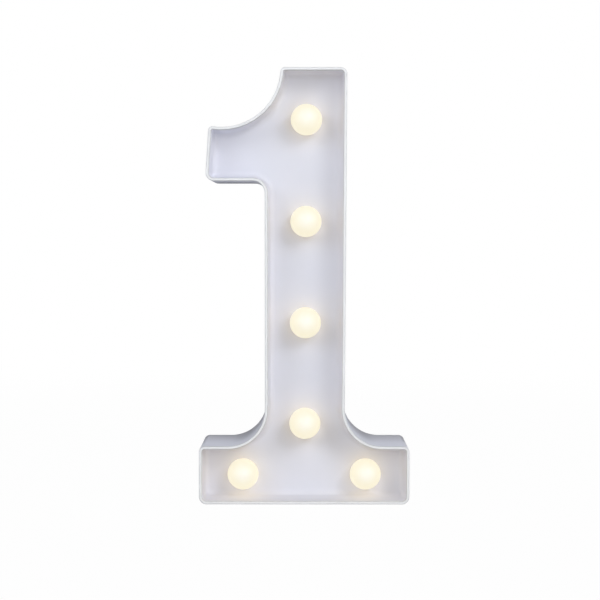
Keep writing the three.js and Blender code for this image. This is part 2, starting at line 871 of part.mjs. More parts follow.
function switchKnob() {
  const footFace = switchFace + fitGap;
  const footBack = footFace + knobFootThickness;
  const stem = slab(0, 0, knobWidth, knobHeight, knobSunk + knobRidgeRise, footBack);
  const foot = slab(
    0,
    0,
    knobWidth + knobFootOverhang * 2,
    knobHeight + knobFootOverhang * 2,
    footFace,
    footBack,
  );
  const ridges = Array.from({ length: knobRidgeCount }, (_, index) => {
    const x = (index - (knobRidgeCount - 1) / 2) * knobRidgePitch;
    return slab(x, 0, knobRidgeWidth, knobHeight, knobSunk, knobSunk + knobRidgeRise + joinOverlap);
  });
  return stem.add(foot).add(sum(ridges));
}

// Cover screw, its countersunk head flush with the cover's back

function coverScrew() {
  const coneEnd = screwSunk + screwHeadRadius - screwShankRadius;
  const tipStart = screwSunk + screwLength - screwTip;
  return turning(
    [
      [0, screwSunk],
      [screwHeadRadius, screwSunk],
      [screwShankRadius, coneEnd],
      [screwShankRadius, tipStart],
      [0, screwSunk + screwLength],
    ],
    screwSides,
  );
}

// Wires and resistor

function wire(points, step) {
  const path = new THREE.CatmullRomCurve3(points.map((point) => new THREE.Vector3(...point)));
  const steps = Math.ceil(path.getLength() / step);
  const section = Array.from({ length: wireSides }, (_, index) => {
    const angle = (Math.PI * 2 * index) / wireSides;
    return at(Math.cos(angle) * wireRadius, Math.sin(angle) * wireRadius);
  });
  const options = { extrudePath: path, steps, bevelEnabled: false };
  return solidOf(new THREE.ExtrudeGeometry(new THREE.Shape(section), options));
}

function baseWire(side) {
  const reach = baseHalf - baseGlobeMargin + wireEnd;
  const y = baseGlobeHeight + side * wireOffset;
  return wire([[-reach, y, wireLevel], [0, y, wireLevel], [reach, y, wireLevel]], wireRunStep);
}

// A wire up the stem, from beside one of the base wires and past every stem diode
function stemWire(side) {
  const stem = globeSpots().filter((spot) => spot.onStem).reverse();
  const places = stem.map(({ x, y }) => [x + side * wireOffset, y, wireLevel]);
  const [lowX, lowY] = places[0];
  const [highX, highY] = places.at(-1);
  const baseWireHeight = baseGlobeHeight + side * wireOffset;
  const start = [lowX, baseWireHeight + wireRadius * 2 + fitGap, wireLevel];
  const crossing = [lowX, switchHeight + wireRadius * 2, wireLevel - (side < 0 ? wireHop : 0)];
  const rise = [lowX, (crossing[1] + lowY) / 2, wireLevel];
  const route = side < 0 ? [start, crossing, rise] : [start, rise];
  return wire([...route, ...places, [highX, highY + wireEnd, wireLevel]], wireRunStep);
}

function resistor() {
  const low = switchBack + lugLength + fitGap;
  const high = wireLevel - wireRadius - fitGap;
  const middle = (low + high) / 2;
  const half = resistorLength / 2;
  return turning(
    [
      [0, low],
      [resistorLeadRadius, low],
      [resistorLeadRadius, middle - half],
      [resistorRadius, middle - half],
      [resistorRadius, middle + half],
      [resistorLeadRadius, middle + half],
      [resistorLeadRadius, high],
      [0, high],
    ],
    ledSides,
  );
}

// A wire from a cell contact's solder tab to the switch's end lug
function positiveCellWire() {
  const tabEnd = bayFoot - bayWall - tabReach - fitGap;
  const lugX = lugPitch;
  const lugTop = switchHeight + lugHeight / 2 + wireRadius + fitGap;
  const lugLevel = switchBack + lugLength / 2;
  const tabX = stemMiddle + cellOffset;
  const outX = latchWidth / 2 + latchThickness * 2 + wireRadius;
  return wire(
    [
      [tabX, tabEnd, cellLevel],
      [tabX, tabEnd - wireEnd, cellLevel],
      [(tabX + outX) / 2, (tabEnd + lugTop) / 2, (cellLevel + lugLevel) / 2 + wireHop],
      [lugX, lugTop + wireEnd, lugLevel],
      [lugX, lugTop, lugLevel],
    ],
    wireLeadStep,
  );
}

// A wire from the other solder tab up to the stem's negative wire
function negativeCellWire() {
  const tabEnd = bayFoot - bayWall - tabReach - fitGap;
  const tabX = stemMiddle - cellOffset;
  const joinX = globeLineAt(firstGlobeHeight) - wireOffset - wireRadius * 2 - fitGap;
  return wire(
    [
      [tabX, tabEnd, cellLevel],
      [tabX, tabEnd - wireEnd, cellLevel],
      [(tabX + joinX) / 2, tabEnd - wireEnd * 2, (cellLevel + wireLevel) / 2 + wireHop],
      [joinX, tabEnd - wireEnd * 3, wireLevel],
      [joinX, tabEnd - wireEnd * 4, wireLevel],
    ],
    wireLeadStep,
  );
}

// Assembly

function piece(name, solid, finish, x = 0, y = 0, z = 0) {
  const mesh = new THREE.Mesh(geometryOf(solid), new THREE.MeshStandardMaterial(finishes[finish]));
  mesh.name = name;
  mesh.position.set(x, y, z);
  return mesh;
}

function globeSets() {
  return globeSpots().flatMap(({ x, y, onStem }, index) => [
    piece(`globe_${index + 1}`, globe(), "globe", x, y),
    piece(`led_${index + 1}`, led(onStem), "led", x, y),
    piece(`globe_collar_${index + 1}`, collar(), "collar", x, y),
  ]);
}

function powerPack() {
  const group = new THREE.Group();
  group.position.set(stemMiddle, 0, 0);
  const footWall = bayFoot + fitGap;
  const topWall = bayTop - fitGap;
  const leftCell = piece("battery_left", cell(), "cell", -cellOffset, bayFoot + leafRoom, cellLevel);
  const rightCell = piece("battery_right", cell(), "cell", cellOffset, bayTop - leafRoom, cellLevel);
  rightCell.rotation.x = Math.PI;
  const bridge = piece("bridge_contact", bridgeContact(), "contact", 0, topWall, 0);
  bridge.rotation.z = Math.PI;
  group.add(
    leftCell,
    rightCell,
    bridge,
    piece("negative_contact", negativeContact(), "contact", -cellOffset, footWall),
    piece("positive_contact", positiveContact(), "contact", cellOffset, footWall),
    piece("battery_door", batteryDoor(), "cover"),
  );
  return group;
}

function controls() {
  const group = new THREE.Group();
  group.position.set(0, switchHeight, 0);
  group.add(
    piece("switch_housing", switchHousing(), "black"),
    piece("switch_knob", switchKnob(), "black", knobTravel / 2),
    piece("resistor", resistor(), "resistor"),
  );
  return group;
}

function wiring() {
  return [
    piece("base_wire_positive", baseWire(1), "redWire"),
    piece("base_wire_negative", baseWire(-1), "blackWire"),
    piece("stem_wire_positive", stemWire(1), "redWire"),
    piece("stem_wire_negative", stemWire(-1), "blackWire"),
    piece("battery_wire_positive", positiveCellWire(), "redWire"),
    piece("battery_wire_negative", negativeCellWire(), "blackWire"),
  ];
}

const numeral = new THREE.Group();
numeral.rotation.x = Math.PI / 2;
numeral.position.y = numeralDepth / 2;
numeral.add(
  piece("front_shell", frontShell(), "shell"),
  piece("back_cover", backCover(), "cover"),
  ...globeSets(),
  powerPack(),
  controls(),
  ...wiring(),
  ...screwSpots().map(({ x, y }, index) => piece(`cover_screw_${index + 1}`, coverScrew(), "screw", x, y)),
);

const marquee = new THREE.Group();
marquee.add(numeral);
export default marquee;
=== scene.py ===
import json
import math

import bmesh
import bpy
from mathutils import Matrix, Vector

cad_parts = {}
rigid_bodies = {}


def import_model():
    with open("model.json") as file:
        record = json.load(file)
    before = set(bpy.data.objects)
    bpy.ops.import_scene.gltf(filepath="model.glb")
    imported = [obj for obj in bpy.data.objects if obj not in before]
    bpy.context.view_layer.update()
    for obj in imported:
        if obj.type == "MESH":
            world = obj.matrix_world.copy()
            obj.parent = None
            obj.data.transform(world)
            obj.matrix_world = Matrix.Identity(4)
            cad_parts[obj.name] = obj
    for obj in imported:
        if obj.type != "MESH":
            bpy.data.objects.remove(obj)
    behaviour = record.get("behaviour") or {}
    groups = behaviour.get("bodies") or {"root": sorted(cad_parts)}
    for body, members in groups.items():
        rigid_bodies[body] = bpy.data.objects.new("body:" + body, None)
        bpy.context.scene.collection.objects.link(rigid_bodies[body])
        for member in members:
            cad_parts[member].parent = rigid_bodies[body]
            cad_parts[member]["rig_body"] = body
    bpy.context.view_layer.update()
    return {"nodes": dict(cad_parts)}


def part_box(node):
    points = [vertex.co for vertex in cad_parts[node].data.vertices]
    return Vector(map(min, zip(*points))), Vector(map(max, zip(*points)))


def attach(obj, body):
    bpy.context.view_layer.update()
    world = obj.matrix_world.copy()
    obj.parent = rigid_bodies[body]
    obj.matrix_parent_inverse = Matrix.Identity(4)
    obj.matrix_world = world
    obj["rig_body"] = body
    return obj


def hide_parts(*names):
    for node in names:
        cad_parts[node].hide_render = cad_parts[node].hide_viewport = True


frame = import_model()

cadNodes = frame["nodes"]
print("frame loaded,", len(cadNodes), "nodes")

# Pieces are shaped in the numeral's own frame, in millimetres: x to the right as seen from the
# front, y up its height, and level from the back plane towards the viewer.
mm = 0.001
shellLow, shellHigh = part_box("front_shell")
numeralHeight = (shellHigh.z - shellLow.z) / mm
numeralDepth = (shellHigh.y - shellLow.y) / mm
baseHalf = (shellHigh.x - shellLow.x) / 2 / mm
everySix = range(1, 7)      # globes, diodes, collars and screws are numbered from 1 to 6


def toWorld(x, y, level):
    return Vector((x * mm, shellHigh.y - level * mm, y * mm))


def middleOf(node):
    low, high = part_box(node)
    return (low + high) / 2


def numbered(stem):
    return [f"{stem}_{index}" for index in everySix]


def spotsOf(stem):
    middles = [middleOf(node) for node in numbered(stem)]
    return [(middle.x / mm, middle.z / mm) for middle in middles]


globeSpots = spotsOf("globe")
screwSpots = spotsOf("cover_screw")


# Camera

cameraValues = {
    "place": (0.00043, -0.77325, 0.13845),
    "tiltDown": 2.66,
    "turnLeft": 0.192,
    "lens": 89.68,
    "sensor": 36,
    "nearest": 0.01,
}


def addCamera(values):
    data = bpy.data.cameras.new("viewCamera")
    data.lens = values["lens"]
    data.sensor_width = values["sensor"]
    data.clip_start = values["nearest"]
    camera = bpy.data.objects.new("viewCamera", data)
    bpy.context.scene.collection.objects.link(camera)
    camera.location = values["place"]
    tilt = math.radians(90 - values["tiltDown"])
    camera.rotation_euler = (tilt, 0, math.radians(values["turnLeft"]))
    bpy.context.scene.camera = camera


addCamera(cameraValues)
print("camera placed")


# Shader node helpers

def makeGroup(name, inputs, outputs):
    tree = bpy.data.node_groups.new(name, "ShaderNodeTree")
    for label, kind, value in inputs:
        kind = "NodeSocket" + kind
        socket = tree.interface.new_socket(name=label, in_out="INPUT", socket_type=kind)
        socket.default_value = value
    for label, kind in outputs:
        kind = "NodeSocket" + kind
        tree.interface.new_socket(name=label, in_out="OUTPUT", socket_type=kind)
    return tree, tree.nodes.new("NodeGroupInput"), tree.nodes.new("NodeGroupOutput")


def feed(tree, value, socket):
    # A socket takes a number, a colour or the output of another node
    if isinstance(value, (int, float)):
        socket.default_value = value
    elif isinstance(value, tuple):
        socket.default_value = (*value, 1)
    else:
        tree.links.new(value, socket)


def addNode(tree, kind, values=None, **settings):
    node = tree.nodes.new("ShaderNode" + kind)
    for key, value in settings.items():
        setattr(node, key, value)
    for key, value in (values or {}).items():
        node.inputs[key].default_value = value
    return node


def objectPlace(tree):
    return addNode(tree, "TexCoord").outputs["Object"]


def splitVector(tree, vector):
    parts = addNode(tree, "SeparateXYZ")
    tree.links.new(vector, parts.inputs["Vector"])
    return parts.outputs


def addNoise(tree, coordinates, scale, detail, rough):
    node = addNode(tree, "TexNoise", {"Detail": detail, "Roughness": rough})
    tree.links.new(coordinates, node.inputs["Vector"])
    feed(tree, scale, node.inputs["Scale"])
    return node.outputs["Fac"]


def addRange(tree, value, source, target=(0.0, 1.0), smooth=False):
    # The value's range source is spread over the range target, and held at both ends
    node = addNode(tree, "MapRange", {"From Min": source[0], "From Max": source[1]})
    node.interpolation_type = "SMOOTHSTEP" if smooth else "LINEAR"
    tree.links.new(value, node.inputs["Value"])
    feed(tree, target[0], node.inputs["To Min"])
    feed(tree, target[1], node.inputs["To Max"])
    return node.outputs["Result"]


def addMix(tree, factor, first, second, blend="MIX"):
    # In this node, inputs 6 and 7 are the two colours and output 2 is their mix
    node = addNode(tree, "Mix", data_type="RGBA", blend_type=blend)
    for value, index in ((factor, 0), (first, 6), (second, 7)):
        feed(tree, value, node.inputs[index])
    return node.outputs[2]


def addMath(tree, operation, first, second=0.0):
    node = addNode(tree, "Math", operation=operation)
    feed(tree, first, node.inputs[0])
    feed(tree, second, node.inputs[1])
    return node.outputs["Value"]


def blendSurface(tree, share, first, second, output):
    blend = addNode(tree, "MixShader")
    tree.links.new(share, blend.inputs[0])
    tree.links.new(first, blend.inputs[1])
    tree.links.new(second, blend.inputs[2])
    tree.links.new(blend.outputs[0], tree.nodes[output].inputs["Surface"])


# Shared effects. Noise crowds about 0.5, so each range is taken from the middle of it.

skinValues = {
    "cloud": {"detail": 3, "rough": 0.55},
    "grain": {"detail": 2, "rough": 0.6},
    "handled": {"scale": 60, "detail": 4, "rough": 0.6},
    "spread": (0.35, 0.65),
}


def makeMouldedSkin(values):
    # Even moulded plastic: a cloudy shift of tint, a fine spark-eroded grain, uneven polish
    tree, start, end = makeGroup(
        "mouldedSkin",
        [
            ("Colour", "Color", (0.8, 0.8, 0.8, 1)),
            ("Shade", "Color", (0.7, 0.7, 0.7, 1)),
            ("Cloud Scale", "Float", 30),
            ("Grain Scale", "Float", 1500),
            ("Polish Low", "Float", 0.3),
            ("Polish High", "Float", 0.4),
        ],
        [("Colour", "Color"), ("Roughness", "Float"), ("Height", "Float")],
    )
    place = objectPlace(tree)
    cloud = addNoise(tree, place, start.outputs["Cloud Scale"], **values["cloud"])
    share = addRange(tree, cloud, values["spread"], smooth=True)
    colour = addMix(tree, share, start.outputs["Colour"], start.outputs["Shade"])
    grain = addNoise(tree, place, start.outputs["Grain Scale"], **values["grain"])
    handled = addNoise(tree, place, **values["handled"])
    finish = (start.outputs["Polish Low"], start.outputs["Polish High"])
    tree.links.new(colour, end.inputs["Colour"])
    tree.links.new(addRange(tree, handled, values["spread"], finish), end.inputs["Roughness"])
    tree.links.new(grain, end.inputs["Height"])
    return tree


scratchValues = {
    "runs": [
        {"stretch": (1, 1, 26), "turn": 0.5},
        {"stretch": (24, 1, 1), "turn": -0.4},
    ],
    "hair": {"detail": 3, "rough": 0.7},
    "spread": (0.66, 0.72),
}


def makeFineScratches(values):
    # Hairline marks of handling, in two crossing directions
    tree, start, end = makeGroup(
        "fineScratches",
        [("Scale", "Float", 90), ("Amount", "Float", 0.3)],
        [("Mask", "Float")],
    )
    place = objectPlace(tree)
    masks = []
    for run in values["runs"]:
        settings = {"Scale": run["stretch"], "Rotation": (0, run["turn"], 0)}
        mapping = addNode(tree, "Mapping", settings)
        tree.links.new(place, mapping.inputs["Vector"])
        where = mapping.outputs["Vector"]
        hair = addNoise(tree, where, start.outputs["Scale"], **values["hair"])
        masks.append(addRange(tree, hair, values["spread"]))
    both = addMath(tree, "MAXIMUM", masks[0], masks[1])
    tree.links.new(addMath(tree, "MULTIPLY", both, start.outputs["Amount"]), end.inputs["Mask"])
    return tree


brushValues = {
    "stretch": (0.08, 1, 1),
    "lines": {"detail": 3, "rough": 0.6},
    "spread": (0.3, 0.7),
    "polish": (0.22, 0.4),
}


def makeBrushedGrain(values):
    # Drawn metal: fine lines along the piece's x
    tree, start, end = makeGroup(
        "brushedGrain",
        [
            ("Colour", "Color", (0.7, 0.7, 0.7, 1)),
            ("Dark", "Color", (0.5, 0.5, 0.5, 1)),
            ("Scale", "Float", 400),
        ],
        [("Colour", "Color"), ("Roughness", "Float"), ("Height", "Float")],
    )
    mapping = addNode(tree, "Mapping", {"Scale": values["stretch"]})
    tree.links.new(objectPlace(tree), mapping.inputs["Vector"])
    where = mapping.outputs["Vector"]
    lines = addNoise(tree, where, start.outputs["Scale"], **values["lines"])
    colour = addMix(tree, lines, start.outputs["Dark"], start.outputs["Colour"])
    polish = addRange(tree, lines, values["spread"], values["polish"])
    tree.links.new(colour, end.inputs["Colour"])
    tree.links.new(polish, end.inputs["Roughness"])
    tree.links.new(lines, end.inputs["Height"])
    return tree


bumpDepth = {"moulded": 0.05, "brushed": 0.04, "frosted": 0.04}
mouldedSkin = makeMouldedSkin(skinValues)
fineScratches = makeFineScratches(scratchValues)
brushedGrain = makeBrushedGrain(brushValues)


# Materials

def newMaterial(name):
    material = bpy.data.materials.new(name)
    material.use_nodes = True
    tree = material.node_tree
    return material, tree, tree.nodes["Principled BSDF"]


def placeGroup(tree, group, values):
    node = tree.nodes.new("ShaderNodeGroup")
    node.node_tree = group
    for key, value in values.items():
        feed(tree, value, node.inputs[key])
    return node.outputs


def addBump(tree, shader, height, strength, depth):
    bump = addNode(tree, "Bump", {"Strength": strength, "Distance": depth * mm})
    tree.links.new(height, bump.inputs["Height"])
    tree.links.new(bump.outputs["Normal"], shader.inputs["Normal"])


def plasticMaterial(name, values):
    material, tree, shader = newMaterial(name)
    skin = placeGroup(tree, mouldedSkin, values["skin"])
    marks = placeGroup(tree, fineScratches, values["marks"])["Mask"]
    colour = addMix(tree, marks, skin["Colour"], values["scratchColour"])
    tree.links.new(colour, shader.inputs["Base Color"])
    rough = addMath(tree, "ADD", skin["Roughness"], marks)
    tree.links.new(rough, shader.inputs["Roughness"])
    shader.inputs["Specular IOR Level"].default_value = values.get("specular", 0.5)
    addBump(tree, shader, skin["Height"], values["bump"], bumpDepth["moulded"])
    return material


def metalMaterial(name, values):
    material, tree, shader = newMaterial(name)
    grain = placeGroup(tree, brushedGrain, values["grain"])
    marks = placeGroup(tree, fineScratches, values["marks"])["Mask"]
    colour = addMix(tree, marks, grain["Colour"], values["scratchColour"])
    tree.links.new(colour, shader.inputs["Base Color"])
    tree.links.new(grain["Roughness"], shader.inputs["Roughness"])
    shader.inputs["Metallic"].default_value = 1
    addBump(tree, shader, grain["Height"], values["bump"], bumpDepth["brushed"])
    return material


def paintLightAndShadeAlongDepth(material, values, blend):
    # Painted light and shade: the tint comes in along the numeral's depth, and where asked only on
    # faces that look up or down, aslant, or sideways
    tree = material.node_tree
    shader = tree.nodes["Principled BSDF"]
    colour = shader.inputs["Base Color"].links[0].from_socket
    where = addNode(tree, "TexCoord")
    place = splitVector(tree, where.outputs["Object"])
    way = splitVector(tree, where.outputs["Normal"])
    reach = (values["from"] * mm, values["to"] * mm)
    shares = [addRange(tree, place["Y"], reach, smooth=True)]
    if "facing" in values:
        shares.append(addRange(tree, way["Z"], (0.0, values["facing"])))
    if "aslant" in values:
        outward = addMath(tree, "MULTIPLY", addMath(tree, "SIGN", place["X"]), way["X"])
        aslant = addMath(tree, "MULTIPLY", outward, addMath(tree, "MAXIMUM", way["Z"]))
        shares.append(addRange(tree, aslant, (0.0, values["aslant"]), smooth=True))
    if "sideways" in values:
        shares.append(addRange(tree, way["Y"], (-1.0, values["sideways"])))
    share = shares[0]
    for further in shares[1:]:
        share = addMath(tree, "MULTIPLY", share, further)
    tinted = addMix(tree, share, colour, values["tint"], blend)
    tree.links.new(tinted, shader.inputs["Base Color"])


shellFinish = {
    "skin": {
        "Colour": (0.83, 0.835, 0.912),
        "Shade": (0.81, 0.82, 0.895),
        "Cloud Scale": 28.0,
        "Grain Scale": 2200.0,
        "Polish Low": 0.42,
        "Polish High": 0.52,
    },
    "marks": {"Scale": 90.0, "Amount": 0.03},
    "scratchColour": (0.8, 0.8, 0.84),
    "bump": 0.12,
    "specular": 0.005,
    # painted highlight: the lip's crest is mixed towards a lighter tint
    "lip": {"from": -20.5, "to": -21.9, "tint": (0.94, 0.943, 0.955)},
    "paintedShades": [
        # painted shade, each coming in along the depth: on tops, undersides, outer corners, the
        # rear edge, the lip's sides and its underside
        {"from": -13, "to": 22.5, "tint": (0.725, 0.715, 0.71), "facing": 0.5},
        {"from": -14, "to": 21, "tint": (0.45, 0.45, 0.46), "facing": -0.7},
        {"from": -20, "to": 10, "tint": (0.73, 0.73, 0.74), "aslant": 0.46},
        {"from": 14, "to": 23, "tint": (0.84, 0.84, 0.85)},
        {"from": -20.6, "to": -22, "tint": (0.74, 0.74, 0.75), "sideways": -0.5},
        {"from": -20.4, "to": -22, "tint": (0.84, 0.84, 0.85), "facing": -0.8},
    ],
}
shellPlastic = plasticMaterial("shellPlastic", shellFinish)
# Painted highlight on the lip
paintLightAndShadeAlongDepth(shellPlastic, shellFinish["lip"], "MIX")
# Painted shade: each kind of face is darkened along the depth
for paintedShade in shellFinish["paintedShades"]:
    paintLightAndShadeAlongDepth(shellPlastic, paintedShade, "MULTIPLY")

coverFinish = {
    "skin": {
        "Colour": (0.80, 0.803, 0.85),
        "Shade": (0.775, 0.78, 0.83),
        "Cloud Scale": 22.0,
        "Grain Scale": 1400.0,
        "Polish Low": 0.46,
        "Polish High": 0.6,
    },
    "marks": {"Scale": 90.0, "Amount": 0.08},
    "scratchColour": (0.8, 0.8, 0.82),
    "bump": 0.35,
}
collarFinish = {
    "skin": {
        "Colour": (0.62, 0.62, 0.63),
        "Shade": (0.56, 0.56, 0.58),
        "Cloud Scale": 80.0,
        "Grain Scale": 1800.0,
        "Polish Low": 0.4,
        "Polish High": 0.5,
    },
    "marks": {"Scale": 90.0, "Amount": 0.05},
    "scratchColour": (0.7, 0.7, 0.7),
    "bump": 0.2,
}
switchFinish = {
    "skin": {
        "Colour": (0.018, 0.018, 0.02),
        "Shade": (0.026, 0.026, 0.028),
        "Cloud Scale": 120.0,
        "Grain Scale": 2600.0,
        "Polish Low": 0.38,
        "Polish High": 0.5,
    },
    "marks": {"Scale": 90.0, "Amount": 0.2},
    "scratchColour": (0.09, 0.09, 0.095),
    "bump": 0.3,
}
smoothSkin = {
    "Cloud Scale": 200.0,
    "Grain Scale": 3000.0,
    "Polish Low": 0.35,
    "Polish High": 0.5,
}
redFinish = {
    "skin": {"Colour": (0.5, 0.02, 0.016), "Shade": (0.42, 0.018, 0.014), **smoothSkin},
    "marks": {"Scale": 90.0, "Amount": 0.1},
    "scratchColour": (0.6, 0.12, 0.1),
    "bump": 0.15,
}
blackFinish = {
    "skin": {"Colour": (0.015, 0.015, 0.016), "Shade": (0.022, 0.022, 0.024), **smoothSkin},
    "marks": {"Scale": 90.0, "Amount": 0.1},
    "scratchColour": (0.1, 0.1, 0.1),
    "bump": 0.15,
}
inkFinish = {
    "skin": {"Colour": (0.09, 0.09, 0.10), "Shade": (0.13, 0.13, 0.14), **smoothSkin},
    "marks": {"Scale": 90.0, "Amount": 0.3},
    "scratchColour": (0.5, 0.5, 0.52),
    "bump": 0.1,
}
nickelFinish = {
    "grain": {"Colour": (0.74, 0.73, 0.70), "Dark": (0.58, 0.57, 0.55), "Scale": 900.0},
    "marks": {"Scale": 160.0, "Amount": 0.3},
    "scratchColour": (0.85, 0.84, 0.82),
    "bump": 0.25,
}
zincFinish = {
    "grain": {"Colour": (0.62, 0.63, 0.66), "Dark": (0.44, 0.45, 0.47), "Scale": 1500.0},
    "marks": {"Scale": 160.0, "Amount": 0.4},
    "scratchColour": (0.8, 0.8, 0.82),
    "bump": 0.25,
}
coverPlastic = plasticMaterial("coverPlastic", coverFinish)
collarPlastic = plasticMaterial("collarPlastic", collarFinish)
switchPlastic = plasticMaterial("switchPlastic", switchFinish)
redInsulation = plasticMaterial("redInsulation", redFinish)
blackInsulation = plasticMaterial("blackInsulation", blackFinish)
printedInk = plasticMaterial("printedInk", inkFinish)
nickelStrip = metalMaterial("nickelStrip", nickelFinish)
zincScrew = metalMaterial("zincScrew", zincFinish)

globeFinish = {
    "core": (1.0, 0.965, 0.83),     # light at the crown of the ball, over its diode
    "limb": (1.0, 0.92, 0.67),      # light at the ball's equator
    "rear": (1.0, 0.70, 0.42),      # light at its neck, warm from the longer way through the wall
    "cast": (1.0, 0.78, 0.38),      # light that reaches the tray
    "coreStrength": 0.775,
    "limbStrength": 0.762,
    "rearStrength": 0.8,
    "castStrength": 0.85,
    "crown": (0.05, -0.99, 0.12),
    "crownFrom": (0.03, 1.03),
    "crownPower": 6.0,
    "rearShare": 0.8,
    "cloud": {"scale": 700, "detail": 2, "rough": 0.5},
    "cloudShare": 0.06,
    "skin": (0.26, 0.255, 0.245),
    "speck": (0.22, 0.215, 0.20),
    "specks": {"scale": 2500, "detail": 2, "rough": 0.6},
    "speckShare": 0.2,
    "spread": (0.3, 0.7),
    "polish": (0.42, 0.52),
    "bump": 0.12,
}


def frostedMaterial(name, values, radius):
    # The diode throws its light forwards, so the ball glows whitest at its crown
    material, tree, shader = newMaterial(name)
    place = objectPlace(tree)
    lean = addNode(tree, "VectorMath", operation="DOT_PRODUCT")
    lean.inputs[1].default_value = values["crown"]
    tree.links.new(place, lean.inputs[0])
    forward = addRange(tree, lean.outputs["Value"], (0.0, radius))
    cloud = addNoise(tree, place, **values["cloud"])
    cloud = addMath(tree, "MULTIPLY", cloud, values["cloudShare"])
    crown = addRange(tree, addMath(tree, "ADD", forward, cloud), values["crownFrom"])
    eased = addMath(tree, "POWER", crown, values["crownPower"])
    behind = addRange(tree, splitVector(tree, place)["Y"], (0.0, radius * values["rearShare"]))
    core, limb, rear, cast = (
        tuple(channel * values[part + "Strength"] for channel in values[part])
        for part in ("core", "limb", "rear", "cast")
    )
    glow = addMix(tree, behind, addMix(tree, eased, limb, core), rear)
    seen = addNode(tree, "LightPath").outputs["Is Camera Ray"]
    tree.links.new(addMix(tree, seen, cast, glow), shader.inputs["Emission Color"])
    shader.inputs["Emission Strength"].default_value = 1
    specks = addNoise(tree, place, **values["specks"])
    share = addMath(tree, "MULTIPLY", specks, values["speckShare"])
    skin = addMix(tree, share, values["skin"], values["speck"])
    tree.links.new(skin, shader.inputs["Base Color"])
    polish = addRange(tree, specks, values["spread"], values["polish"])
    tree.links.new(polish, shader.inputs["Roughness"])
    addBump(tree, shader, specks, values["bump"], bumpDepth["frosted"])
    return material


resinFinish = {
    "clear": (0.92, 0.82, 0.5),
    "cloudy": (0.85, 0.7, 0.36),
    "cloud": {"scale": 400, "detail": 2, "rough": 0.5},
    "spread": (0.3, 0.7),
    "polish": (0.1, 0.2),
    "glow": (1.0, 0.85, 0.5),
    "glowStrength": 0.3,
}


def resinMaterial(name, values):
    material, tree, shader = newMaterial(name)
    cloud = addNoise(tree, objectPlace(tree), **values["cloud"])
    colour = addMix(tree, cloud, values["clear"], values["cloudy"])
    tree.links.new(colour, shader.inputs["Base Color"])
    polish = addRange(tree, cloud, values["spread"], values["polish"])
    tree.links.new(polish, shader.inputs["Roughness"])
    feed(tree, values["glow"], shader.inputs["Emission Color"])
    shader.inputs["Emission Strength"].default_value = values["glowStrength"]
    return material


wearValues = {
    "specks": {"scale": 120, "detail": 3, "rough": 0.6},
    "colour": (0.5, 0.5, 0.5),
    "share": 0.03,
    "spread": (0.3, 0.7),
    "polish": 0.06,
}


def bandedMaterial(name, values, wear=wearValues):
    # Bands of colour along one axis of the piece, given as (from, colour) in millimetres
    material, tree, shader = newMaterial(name)
    place = objectPlace(tree)
    along = splitVector(tree, place)[values["axis"]]
    colour = values["bands"][0][1]
    for start, tint in values["bands"][1:]:
        colour = addMix(tree, addMath(tree, "GREATER_THAN", along, start * mm), colour, tint)
    specks = addNoise(tree, place, **wear["specks"])
    worn = addMix(tree, addMath(tree, "MULTIPLY", specks, wear["share"]), colour, wear["colour"])
    tree.links.new(worn, shader.inputs["Base Color"])
    polish = (values["polish"] - wear["polish"], values["polish"] + wear["polish"])
    tree.links.new(addRange(tree, specks, wear["spread"], polish), shader.inputs["Roughness"])
    return material


diodeResin = resinMaterial("diodeResin", resinFinish)
print("materials made")


# Mesh helpers

meshValues = {"sharpAngle": 32, "faceWeight": 80, "weldGap": 0.0001}


def newPiece(name, bm, body, materials, middle=None):
    mesh = bpy.data.meshes.new(name)
    if middle is not None:
        bmesh.ops.translate(bm, vec=-middle, verts=bm.verts)
    bmesh.ops.recalc_face_normals(bm, faces=bm.faces)
    bm.to_mesh(mesh)
    bm.free()
    for material in materials:
        mesh.materials.append(material)
    piece = bpy.data.objects.new(name, mesh)
    bpy.context.scene.collection.objects.link(piece)
    if middle is not None:
        piece.location = middle
    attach(piece, body)
    return piece


def smoothPiece(piece, sharpAngle=meshValues["sharpAngle"]):
    for polygon in piece.data.polygons:
        polygon.use_smooth = True
    piece.data.set_sharp_from_angle(angle=math.radians(sharpAngle))
    weighted = piece.modifiers.new("weightedNormals", "WEIGHTED_NORMAL")
    weighted.keep_sharp = True
    weighted.weight = meshValues["faceWeight"]


def bridgeRings(bm, first, second):
    count = len(first)
    return [
        bm.faces.new((first[i], first[(i + 1) % count], second[(i + 1) % count], second[i]))
        for i in range(count)
    ]


def circlePoints(x, y, radius, count):
    turns = (2 * math.pi * index / count for index in range(count))
    return [(x + math.cos(turn) * radius, y + math.sin(turn) * radius) for turn in turns]


def addRing(bm, points, level):
    return [bm.verts.new(toWorld(x, y, level)) for x, y in points]


def ringEdges(bm, ring):
    count = len(ring)
    return [bm.edges.get((ring[i], ring[(i + 1) % count])) for i in range(count)]


# Numeral outline, as a chain of edges with the radius that rounds each into the next

outlineValues = {
    "baseHeight": 29.4,
    "stemLeft": -19.8,
    "stemRight": 20.4,
    "headRight": 21.6,
    "headLeft": -11.8,
    "notchRadius": 29.7,
    "flagTopReach": 48,
    "flagFootReach": 49.7,
    "flagThickness": 27,
    "footRadius": 3.8,
    "shoulderRadius": 3,
    "rootRadius": 19,
    "headRadius": 3.3,
    "lipRadius": 2.3,
    "flagFootRadius": 4.2,
    "flagRootRadius": 6,
    "leastRadius": 0.6,
    "chordSag": 0.004,
}


